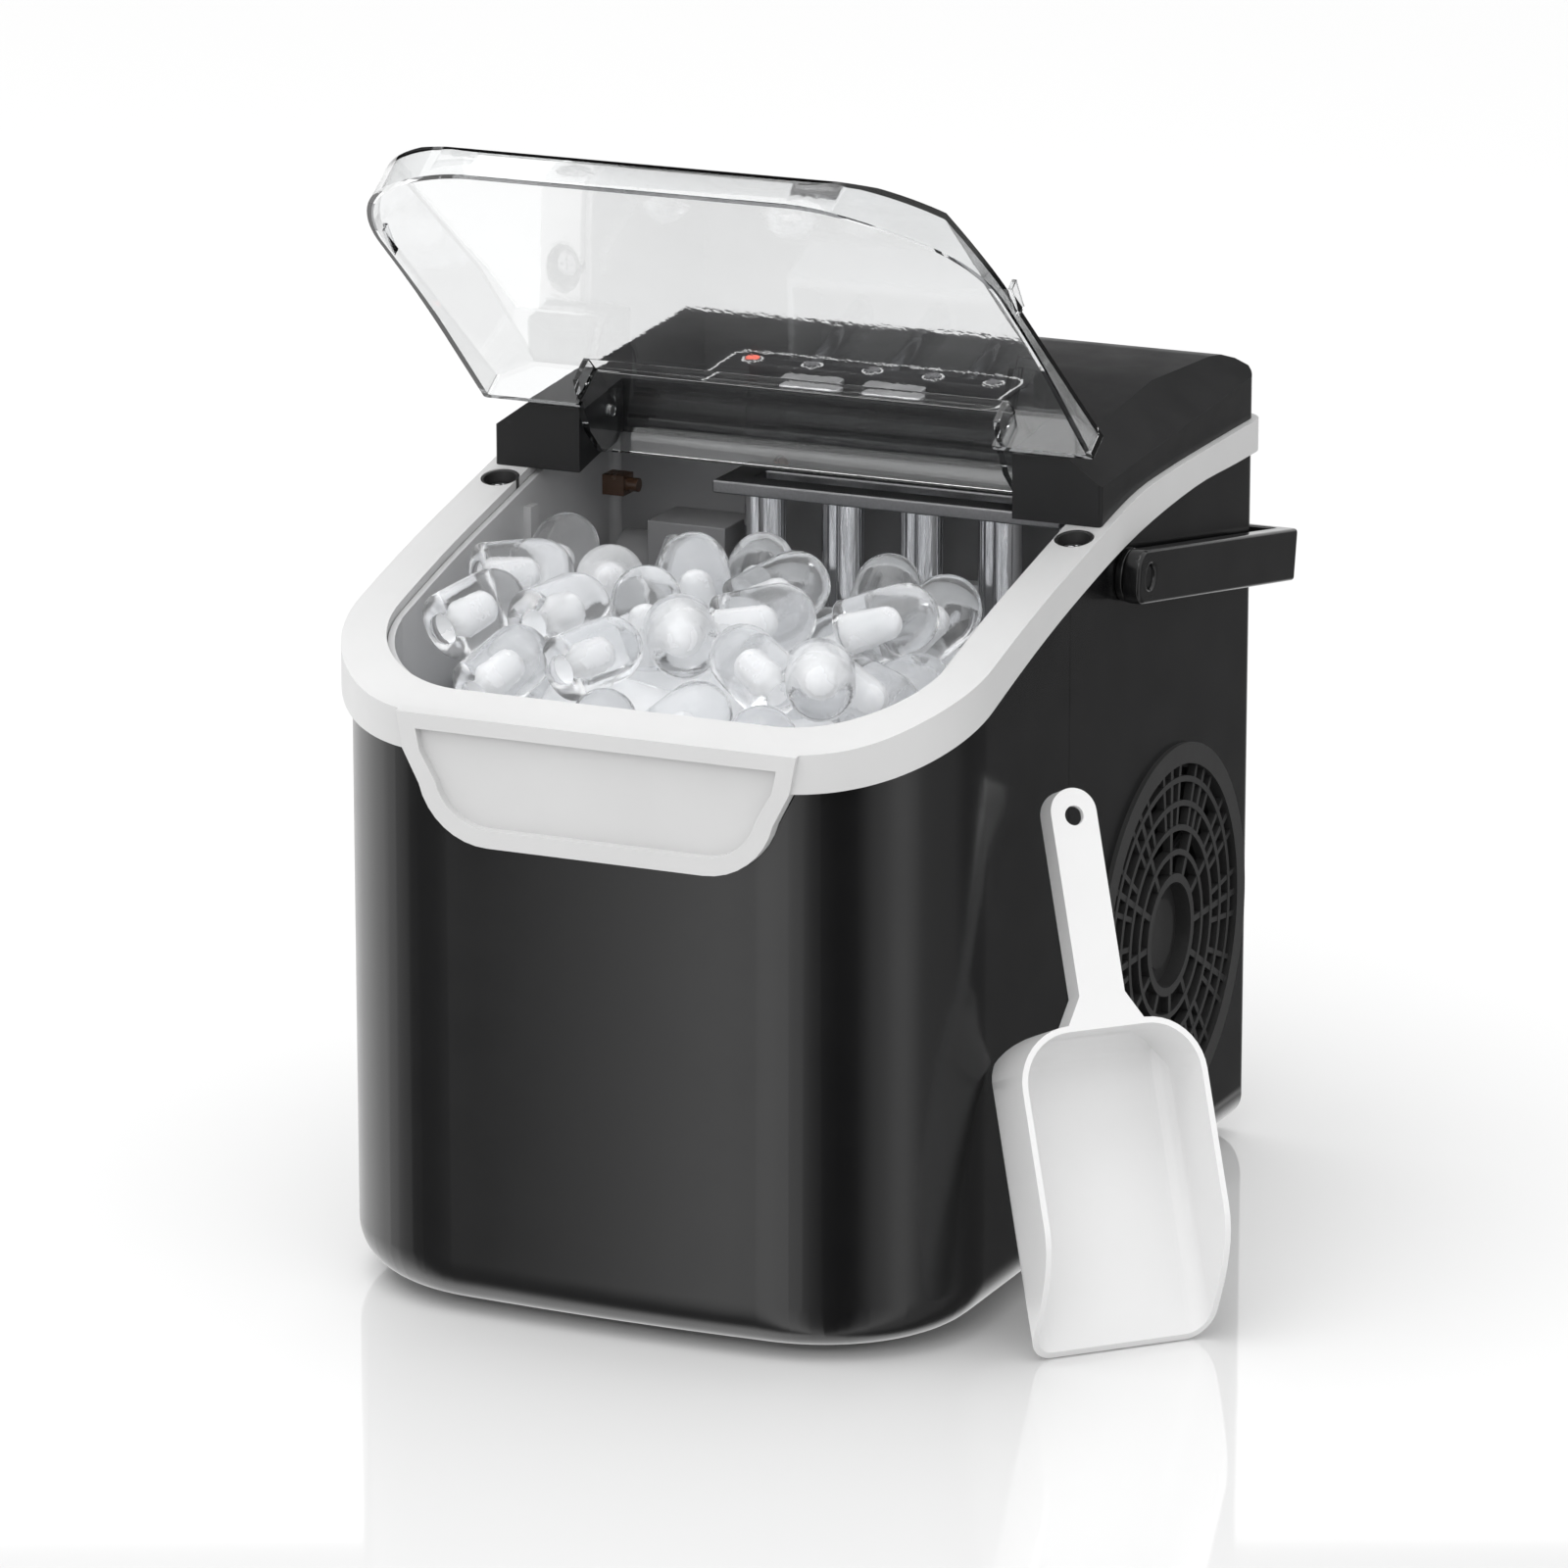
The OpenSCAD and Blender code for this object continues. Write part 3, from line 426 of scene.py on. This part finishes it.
def panel_print():
    """The thin white outline round the controls and a ring round each lamp."""
    bm = bmesh.new()
    half_x, half_y, radius, line = 0.0535, 0.0175, 0.006, 0.0008
    outer = rounded_loop(half_x, half_y, radius)
    inner = rounded_loop(half_x - line, half_y - line, radius - line)
    printed_ring(bm, outer, inner, (0, 0))
    for i in range(5):
        middle = ((i - 2) * LAMP_STEP, LAMP_ROW)
        printed_ring(bm, circle_loop(RING_OUTER), circle_loop(RING_INNER), middle)
    piece("panel_print", finished_mesh("panel_print", bm), "housing", "panel_film", ink)


ink = moulded("print_white", (0.62, 0.62, 0.62), 0.4, grain=2600, depth=0.000004, vary=0.03)
panel_print()


def lit_lamp():
    """The first lamp is lit: a low domed lens over its node's flat one."""
    steps, rings = 28, 4
    radius, dome, collar = 0.0025, 0.0005, 0.0001
    first = -2 * LAMP_STEP
    bm = bmesh.new()

    def lamp_ring(size, lift):
        return [bm.verts.new(on_panel(first + x, LAMP_ROW + y, lift)) for x, y in circle_loop(size, steps)]

    rows = []
    for r in range(rings):
        share = 1 - r / rings
        rows.append(lamp_ring(radius * share, dome * (1 - share * share) + collar))
    top = bm.verts.new(on_panel(first, LAMP_ROW, dome + collar))
    foot = lamp_ring(radius, PRINT_FOOT)
    for row, after in zip([foot] + rows, rows):
        for i in range(steps):
            j = (i + 1) % steps
            bm.faces.new((row[i], row[j], after[j], after[i]))
    for i in range(steps):
        bm.faces.new((rows[-1][i], rows[-1][(i + 1) % steps], top))
    bm.faces.new(foot[::-1])
    for face in bm.faces:
        face.smooth = True
    material = moulded("lamp_red", (0.75, 0.16, 0.11), 0.3, grain=900, depth=0.00001)
    shader = next(n for n in material.node_tree.nodes if n.type == "BSDF_PRINCIPLED")
    shader.inputs["Emission Color"].default_value = (1, 0.12, 0.07, 1)
    shader.inputs["Emission Strength"].default_value = 0.35
    piece("lamp_lit", finished_mesh("lamp_lit", bm), "housing", "led_clear", material)


lit_lamp()


# ---------------------------------------------------------------- ice
ICE_RADIUS = 0.0118
ICE_LENGTH = 0.033
HOLLOW_RADIUS = 0.0042
ROUND_STEPS = 28
DOME_STEPS = 7
RELAX_ROUNDS = 60
BASKET_LOW, BASKET_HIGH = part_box("ice_basket")


def turned(profile, segments, name):
    """A closed solid of revolution about Z from (radius, height) points that start and end on the axis."""
    bm = bmesh.new()
    rings = []
    for radius, height in profile:
        if radius < 1e-7:
            rings.append([bm.verts.new((0, 0, height))])
            continue
        steps = [math.tau * i / segments for i in range(segments)]
        rings.append([bm.verts.new((radius * math.cos(a), radius * math.sin(a), height)) for a in steps])
    for below, above in zip(rings, rings[1:]):
        for i in range(segments):
            j = (i + 1) % segments
            if len(below) == 1:
                bm.faces.new((below[0], above[j], above[i]))
            elif len(above) == 1:
                bm.faces.new((below[i], below[j], above[0]))
            else:
                bm.faces.new((below[i], below[j], above[j], above[i]))
    return finished_mesh(name, bm)


def bullet_profile(radius, length, core):
    """Outline of one bullet: a hollow flat end at the bottom, a dome at the top."""
    points = []
    core_depth = length * 0.62
    edge = 0.0022
    for i in range(DOME_STEPS):
        a = math.pi / 2 * i / (DOME_STEPS - 1)
        points.append((core * math.sin(a), core_depth - core + core * math.cos(a)))
    points.append((core * 1.25, 0.0012))
    points.append((core * 1.45, 0.0))
    for i in range(5):
        a = math.pi / 2 * i / 4
        points.append((radius - edge + edge * math.sin(a), edge - edge * math.cos(a)))
    points.append((radius, length * 0.4))
    points.append((radius * 0.985, length - radius))
    for i in range(1, DOME_STEPS + 1):
        a = math.pi / 2 * i / DOME_STEPS
        points.append((radius * 0.985 * math.cos(a), length - radius + radius * math.sin(a)))
    points[-1] = (0.0, length)
    points[0] = (0.0, points[0][1])
    return points


# Heap order: x, y, z in millimetres, then the way the dome points: turn from +X and rise, in degrees.
TOP_ICE = [
    (-82, -72, 221, 65, 15), (-72, -56, 226, 45, 0), (-68, -91, 214, -75, 5), (-43, -68, 222, 75, 5),
    (-64, -30, 225, 65, 50), (-45, -38, 224, -65, 20), (-52, -8, 219, 160, 20), (-34, -6, 222, -110, -60),
    (-17, -58, 225, 60, 85), (-4, -46, 227, -110, 80), (-3, -20, 225, -20, 65), (21, -4, 222, -150, 5),
    (45, 0, 222, 35, 70), (67, -6, 221, -170, 5), (16, -46, 227, 10, 30), (37, -50, 227, 10, 30),
    (16, -70, 222, 10, 15), (2, -81, 218, -60, 0), (-19, -91, 213, 65, 10), (-41, -101, 209, 70, 25),
    (35, -73, 221, 5, 15), (36, -89, 215, 155, 25), (62, -87, 215, -65, 0), (63, -54, 226, 10, 20),
    (78, -66, 221, -10, 30), (78, -42, 226, 45, 35), (76, -84, 214, -30, -5), (-11, -112, 201, 10, 80),
    (35, -111, 203, -40, 45), (12, -106, 203, 10, 40), (62, -108, 203, 30, 20), (-72, -110, 204, 15, 20),
]
HEAP = [(-130, 190), (-115, 199), (-95, 210), (-75, 218), (-55, 224), (-35, 225), (0, 222)]


def heap_height(y_mm):
    for (y0, z0), (y1, z1) in zip(HEAP, HEAP[1:]):
        if y_mm <= y1:
            return z0 + (z1 - z0) * max(0, y_mm - y0) / (y1 - y0)
    return HEAP[-1][1]


def pointing(turn, rise):
    a, e = math.radians(turn), math.radians(rise)
    return Vector((math.cos(a) * math.cos(e), math.sin(a) * math.cos(e), math.sin(e)))


def ice_places():
    """Centre and direction of each bullet: the top layer, then fill down to the basket's floor."""
    shuffle = random.Random(7)
    places = [[Vector(row[:3]) * MM, pointing(*row[3:]), True] for row in TOP_ICE]
    for layer in range(1, 5):
        for i in range(6):
            for j in range(5):
                x = -70 + 28 * i + shuffle.uniform(-5, 5)
                y = -112 + 26 * j + shuffle.uniform(-5, 5)
                z = heap_height(y) - 22 * layer + shuffle.uniform(-3, 3)
                rise = shuffle.uniform(-35, 35)
                turn = shuffle.uniform(0, 360)
                if z > 128 and y < -14:
                    places.append([Vector((x, y, z)) * MM, pointing(turn, rise), False])
    return places


def closest(p, d, q, e, half):
    """Nearest points of two segments of half length half, about p along d and q along e."""
    r = p - q
    b = d.dot(e)
    c, f = d.dot(r), e.dot(r)
    det = 1 - b * b
    s = 0.0 if det < 1e-6 else max(-half, min(half, (b * f - c) / det))
    t = max(-half, min(half, b * s + f))
    s = max(-half, min(half, b * t - c))
    return p + d * s, q + e * t


def relax(places):
    """Pushes overlapping bullets apart, within the basket's walls and no higher than they began."""
    half = ICE_LENGTH / 2 - ICE_RADIUS
    ceilings = [p[0].z + 0.001 for p in places]
    low = BASKET_LOW + Vector((0.0035, 0.0035, 0.003))
    high = BASKET_HIGH - Vector((0.0035, 0.0035, 0))
    for _ in range(RELAX_ROUNDS):
        for i, a in enumerate(places):
            for b in places[i + 1:]:
                if (a[0] - b[0]).length_squared > ICE_LENGTH ** 2:
                    continue
                p, q = closest(a[0], a[1], b[0], b[1], half)
                gap = p - q
                dist = max(gap.length, 1e-6)
                if dist < 2 * ICE_RADIUS:
                    push = gap / dist * (2 * ICE_RADIUS - dist) * 0.5
                    # A top bullet stays where it is and one below it moves the whole way.
                    shares = (0, 2) if a[2] and not b[2] else (1, 1)
                    a[0] += push * shares[0]
                    b[0] -= push * shares[1]
        for (centre, direction, _), ceiling in zip(places, ceilings):
            reach = [abs(c) * half + ICE_RADIUS for c in direction]
            centre.z = min(centre.z, ceiling)
            for axis in range(3):
                if centre[axis] < low[axis] + reach[axis]:
                    centre[axis] = low[axis] + reach[axis]
                if axis < 2 and centre[axis] > high[axis] - reach[axis]:
                    centre[axis] = high[axis] - reach[axis]
    return places


def make_ice():
    """All bullets as one mesh: skin and hollow of the top ones, then the ones below."""
    profile = bullet_profile(ICE_RADIUS, ICE_LENGTH, HOLLOW_RADIUS)
    single = turned(profile, ROUND_STEPS, "bullet")
    source = bmesh.new()
    source.from_mesh(single)
    heap = bmesh.new()
    shuffle = random.Random(3)
    core_faces = DOME_STEPS * ROUND_STEPS
    for centre, direction, on_top in relax(ice_places()):
        turn = direction.to_track_quat("Z", "Y").to_matrix().to_4x4()
        roll = Matrix.Rotation(shuffle.uniform(0, math.tau), 4, "Z")
        size = shuffle.uniform(0.94, 1.02)
        matrix = Matrix.Translation(centre) @ turn @ roll @ Matrix.Scale(size, 4)
        matrix = matrix @ Matrix.Translation((0, 0, -ICE_LENGTH / 2))
        verts = [heap.verts.new(matrix @ v.co) for v in source.verts]
        for k, face in enumerate(source.faces):
            made = heap.faces.new([verts[v.index] for v in face.verts])
            made.smooth = True
            made.material_index = (1 if k < core_faces else 0) if on_top else 2
    mesh = bpy.data.meshes.new("ice_bullets")
    heap.to_mesh(mesh)
    heap.free()
    source.free()
    return mesh


def ice_material(name, frost_and_glow, rough):
    """Ice, clear or whitened by fine bubbles; the faint glow, stronger the whiter the ice, is painted light
    standing in for light that bubbles pass on.
    """
    material, tree, shader = new_tree(name)
    where = place(tree)
    fine = noise(tree, where, 1100.0, 2.0)
    cloud = noise(tree, where, 90.0, 4.0)
    tree.links.new(tint(tree, cloud, (0.90, 0.91, 0.92), (0.99, 0.99, 1.0)), shader.inputs["Base Color"])
    tree.links.new(spread(tree, cloud, rough * 0.5, rough * 1.6), shader.inputs["Roughness"])
    shader.inputs["IOR"].default_value = 1.31
    shader.inputs["Transmission Weight"].default_value = 1 - frost_and_glow
    shader.inputs["Emission Color"].default_value = (0.96, 0.98, 1, 1)
    # Painted glow: emission that brightens the ice, grows with the whitening, and is strongest in the hollows
    # and lower bullets.
    shader.inputs["Emission Strength"].default_value = 0.16 * frost_and_glow
    bump(tree, shader, fine, 0.00007 if frost_and_glow > 0.2 else 0.00004)
    return material


ice_mesh = make_ice()
# The hollows of the top bullets and the bullets below are whitened and take the strongest painted glow.
ice_mesh.materials.append(ice_material("ice_skin", 0.06, 0.04))
ice_mesh.materials.append(ice_material("ice_core", 0.7, 0.25))
ice_mesh.materials.append(ice_material("ice_deep", 0.7, 0.08))
ice = bpy.data.objects.new("ice_bullets", ice_mesh)
bpy.context.scene.collection.objects.link(ice)
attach(ice, "basket")


# ---------------------------------------------------------------- floor and light
def stage_object(name, bm, material):
    """A floor or card that isn't part of the object."""
    mesh = bpy.data.meshes.new(name)
    bm.to_mesh(mesh)
    bm.free()
    mesh.materials.append(material)
    obj = bpy.data.objects.new(name, mesh)
    bpy.context.scene.collection.objects.link(obj)
    return obj


def studio_floor():
    """A glossy white floor; the casing mirrors the studio's bands below the horizon instead of it."""
    bm = bmesh.new()
    bmesh.ops.create_circle(bm, cap_ends=True, segments=96, radius=14)
    material, _, shader = new_tree("floor_white")
    shader.inputs["Base Color"].default_value = (0.76, 0.76, 0.76, 1)
    shader.inputs["Roughness"].default_value = 0.05
    shader.inputs["IOR"].default_value = 1.45
    stage_object("floor", bm, material).visible_glossy = False


studio_floor()


def softbox(name, location, aim, width, height, power):
    data = bpy.data.lights.new(name, "AREA")
    data.shape = "RECTANGLE"
    data.size, data.size_y = width, height
    data.energy = power
    lamp = bpy.data.objects.new(name, data)
    bpy.context.scene.collection.objects.link(lamp)
    lamp.location = location
    lamp.rotation_mode = "QUATERNION"
    lamp.rotation_quaternion = (Vector(aim) - Vector(location)).to_track_quat("-Z", "Y")


softbox("overhead", (-0.5, -0.6, 2.2), (0, 0, 0.15), 1.8, 1.8, 20)
softbox("front_fill", (0.4, -2.4, 1.9), (0, 0, 0.2), 1.4, 0.9, 8)


def black_flag():
    """A dark card behind and above the frame, so that the cover's top doesn't mirror the bright studio."""
    away = Vector((-to_camera.x, -to_camera.y, 0)).normalized()
    side = Vector((away.y, -away.x, 0))
    middle = away * 0.75
    bm = bmesh.new()
    for across, up in ((-0.9, 0.40), (0.9, 0.40), (0.9, 1.0), (-0.9, 1.0)):
        bm.verts.new(middle + side * across + Vector((0, 0, up)))
    bm.faces.new(bm.verts)
    material, _, shader = new_tree("flag_black")
    shader.inputs["Base Color"].default_value = (0.01, 0.01, 0.01, 1)
    shader.inputs["Roughness"].default_value = 1
    flag = stage_object("black_flag", bm, material)
    flag.visible_camera = flag.visible_diffuse = flag.visible_shadow = flag.visible_transmission = False


black_flag()


# Brightness of the studio by direction: degrees from the front towards +X, then radiance.
LOW_STUDIO = [
    (-180, 1.12), (-140, 1.12), (-125, 1.3), (-104, 1.6), (-86, 1.5), (-70, 0.8), (-56, 0.16), (-40, 0.2),
    (-32, 0.3), (-26, 0.85), (-18, 1.75), (-2, 1.65), (8, 1.1), (17, 0.3), (28, 0.03), (42, 0.05), (58, 0.7),
    (76, 1.25), (92, 0.5), (112, 0.42), (132, 0.14), (160, 0.1), (172, 0.6), (180, 1.12),
]
HIGH_STUDIO = 1.12


def studio_world():
    """Soft surroundings: bands by direction near and below the horizon, even light above."""
    world = bpy.data.worlds.new("studio")
    bpy.context.scene.world = world
    world.use_nodes = True
    tree = world.node_tree
    background = tree.nodes["Background"]
    background.inputs["Color"].default_value = (1, 1, 1, 1)
    coordinates = tree.nodes.new("ShaderNodeTexCoord")
    split = tree.nodes.new("ShaderNodeSeparateXYZ")
    tree.links.new(coordinates.outputs["Generated"], split.inputs["Vector"])
    flip = tree.nodes.new("ShaderNodeMath")
    flip.operation = "MULTIPLY"
    flip.inputs[1].default_value = -1
    tree.links.new(split.outputs["Y"], flip.inputs[0])
    angle = tree.nodes.new("ShaderNodeMath")
    angle.operation = "ARCTAN2"
    tree.links.new(split.outputs["X"], angle.inputs[0])
    tree.links.new(flip.outputs[0], angle.inputs[1])
    share = tree.nodes.new("ShaderNodeMapRange")
    share.inputs["From Min"].default_value = -math.pi
    share.inputs["From Max"].default_value = math.pi
    tree.links.new(angle.outputs[0], share.inputs["Value"])
    bands = tree.nodes.new("ShaderNodeValToRGB")
    bands.color_ramp.interpolation = "EASE"
    brightest = max(v for _, v in LOW_STUDIO)
    elements = bands.color_ramp.elements
    for stop, (_, value) in zip(elements, (LOW_STUDIO[0], LOW_STUDIO[-1])):
        stop.color = (value / brightest, value / brightest, value / brightest, 1)
    for degrees, value in LOW_STUDIO[1:-1]:
        stop = elements.new((degrees + 180) / 360)
        stop.color = (value / brightest, value / brightest, value / brightest, 1)
    tree.links.new(share.outputs["Result"], bands.inputs["Fac"])
    strength = tree.nodes.new("ShaderNodeMix")
    strength.data_type = "FLOAT"
    level = tree.nodes.new("ShaderNodeMath")
    level.operation = "MULTIPLY"
    level.inputs[1].default_value = brightest
    tree.links.new(bands.outputs["Color"], level.inputs[0])
    rise = tree.nodes.new("ShaderNodeMapRange")
    rise.interpolation_type = "SMOOTHSTEP"
    rise.inputs["From Min"].default_value = -0.05
    rise.inputs["From Max"].default_value = 0.3
    tree.links.new(split.outputs["Z"], rise.inputs["Value"])
    tree.links.new(rise.outputs["Result"], strength.inputs["Factor"])
    tree.links.new(level.outputs[0], strength.inputs["A"])
    strength.inputs["B"].default_value = HIGH_STUDIO
    tree.links.new(strength.outputs["Result"], background.inputs["Strength"])


studio_world()
